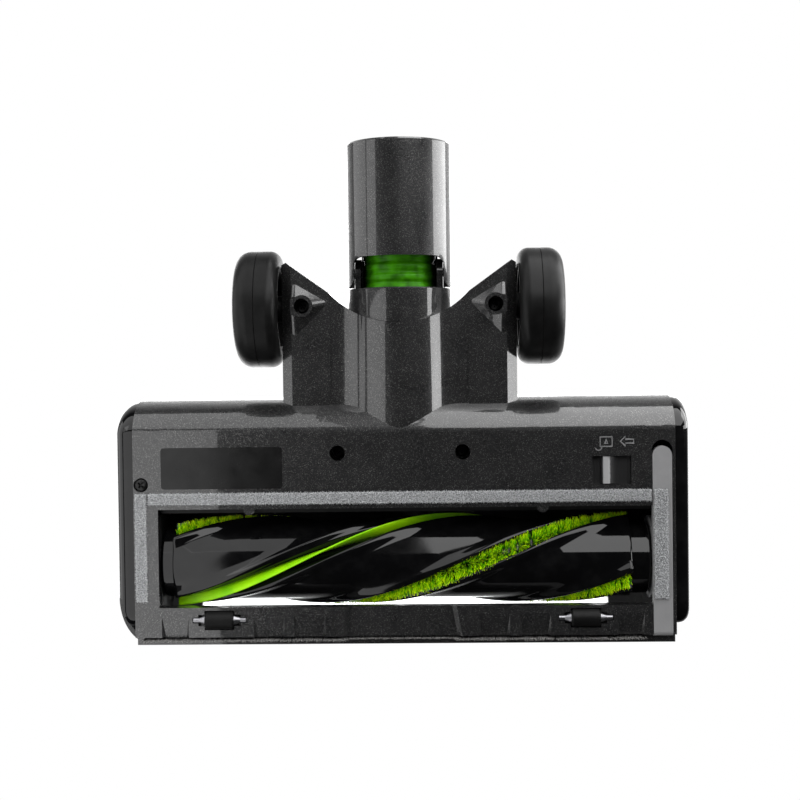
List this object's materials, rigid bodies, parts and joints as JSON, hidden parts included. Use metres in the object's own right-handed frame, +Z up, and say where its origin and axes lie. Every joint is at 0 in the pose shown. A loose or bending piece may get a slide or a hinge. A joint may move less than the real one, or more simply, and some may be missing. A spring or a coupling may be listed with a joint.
{
  "type": "vacuum floor brush head",
  "caption": "Wide motorised vacuum floor head with a spinning brush roll under a clear nose, rear wheels, and a swivelling, tilting neck tube with a socket for the wand.",
  "frame": {"origin": "on the floor under the middle of the overall box", "axes": "+X across the head towards the belt side, +Y to the rear along the neck tube, +Z up from the floor"},
  "size_m": [0.25, 0.221, 0.0544],
  "materials": {
    "charcoal_shell": "charcoal plastic with a fine metallic flake, satin gloss",
    "gloss_black": "smooth glossy black plastic",
    "inner_black": "plain moulded black plastic",
    "clear": "clear polycarbonate",
    "cover_grey": "mid grey fine-grained plastic",
    "latch_black": "fine-grained black plastic",
    "spring_steel": "bright drawn steel",
    "felt": "light grey short-pile felt",
    "fringe": "grey-brown nylon bristle",
    "motor_steel": "plated steel can",
    "belt": "ribbed black rubber",
    "bright_steel": "ground steel",
    "black_steel": "black oxide screw steel",
    "bristle": "green nylon bristle with dark roots",
    "blade": "smooth lime soft plastic",
    "board": "green circuit board with dark components",
    "hose": "green flexible corrugated hose",
    "tyre": "satin black soft rubber",
    "brass": "turned brass",
    "roller_black": "matte black plastic"
  },
  "bodies": {
    "base": {"base_shell": "charcoal_shell", "top_cover": "charcoal_shell", "clear_window": "clear", "drive_end_cap": "gloss_black", "release_end_cap": "gloss_black", "brush_chamber": "gloss_black", "air_duct": "inner_black", "brush_end_cover": "cover_grey", "latch_spring": "spring_steel", "felt_strip_rear": "felt", "felt_strip_left": "felt", "felt_strip_right": "felt", "front_fringe": "fringe", "brush_motor": "motor_steel", "drive_belt": "belt", "drive_bearing": "bright_steel", "idle_bearing": "bright_steel", "control_board": "board", "housing_screws": "black_steel", "end_cap_screw": "black_steel", "wheel_axle_left": "bright_steel", "wheel_axle_right": "bright_steel"},
    "brush": {"brush_core": "gloss_black", "bristle_row_a": "bristle", "bristle_row_b": "bristle", "soft_blade": "blade", "brush_drive_end": "inner_black", "brush_idle_end": "inner_black", "brush_idle_pin": "bright_steel", "drive_dog": "inner_black", "driven_pulley": "inner_black"},
    "motor_rotor": {"motor_shaft": "bright_steel", "motor_pulley": "inner_black"},
    "collar": {"swivel_collar": "charcoal_shell", "flex_hose": "hose"},
    "tube": {"neck_tube": "charcoal_shell", "hinge_pins": "bright_steel", "contact_pins": "brass"},
    "wheel_left": {"wheel_tyre_left": "tyre", "wheel_hub_left": "inner_black", "hub_cap_left": "gloss_black"},
    "wheel_right": {"wheel_tyre_right": "tyre", "wheel_hub_right": "inner_black", "hub_cap_right": "gloss_black"},
    "roller_left": {"front_roller_left": "roller_black", "roller_axle_left": "bright_steel"},
    "roller_right": {"front_roller_right": "roller_black", "roller_axle_right": "bright_steel"},
    "latch": {"brush_latch": "latch_black"}
  },
  "joints": [
    {"name": "neck_swivel", "type": "hinge", "parent": "base", "child": "collar", "pos_m": [0, 0.0105, 0.0288], "axis": [0, 1, 0], "range_deg": [-35, 35]},
    {"name": "tube_tilt", "type": "hinge", "parent": "collar", "child": "tube", "pos_m": [0, 0.053, 0.0288], "axis": [1, 0, 0], "range_deg": [0, 80], "deforming": ["flex_hose"]},
    {"name": "brush_spin", "type": "hinge", "parent": "base", "child": "brush", "pos_m": [0, -0.075, 0.0207], "axis": [1, 0, 0], "continuous": true},
    {"name": "motor_spin", "type": "hinge", "parent": "base", "child": "motor_rotor", "pos_m": [0.11, -0.0265, 0.028], "axis": [1, 0, 0], "continuous": true},
    {"name": "wheel_left_spin", "type": "hinge", "parent": "base", "child": "wheel_left", "pos_m": [0.0635, 0.0372, 0.026], "axis": [1, 0, 0], "continuous": true},
    {"name": "wheel_right_spin", "type": "hinge", "parent": "base", "child": "wheel_right", "pos_m": [-0.0635, 0.0372, 0.026], "axis": [1, 0, 0], "continuous": true},
    {"name": "roller_left_spin", "type": "hinge", "parent": "base", "child": "roller_left", "pos_m": [0.0797, -0.099, 0.00395], "axis": [1, 0, 0], "continuous": true},
    {"name": "roller_right_spin", "type": "hinge", "parent": "base", "child": "roller_right", "pos_m": [-0.0797, -0.099, 0.00395], "axis": [1, 0, 0], "continuous": true},
    {"name": "latch_slide", "type": "slide", "parent": "base", "child": "latch", "axis": [1, 0, 0], "range_m": [0, 0.0035], "stiffness_N_per_m": 300, "springref_m": -0.003, "deforming": ["latch_spring"]}
  ],
  "couplings": [
    {"joint": "motor_spin", "follows": "brush_spin", "ratio": 2.2}
  ]
}
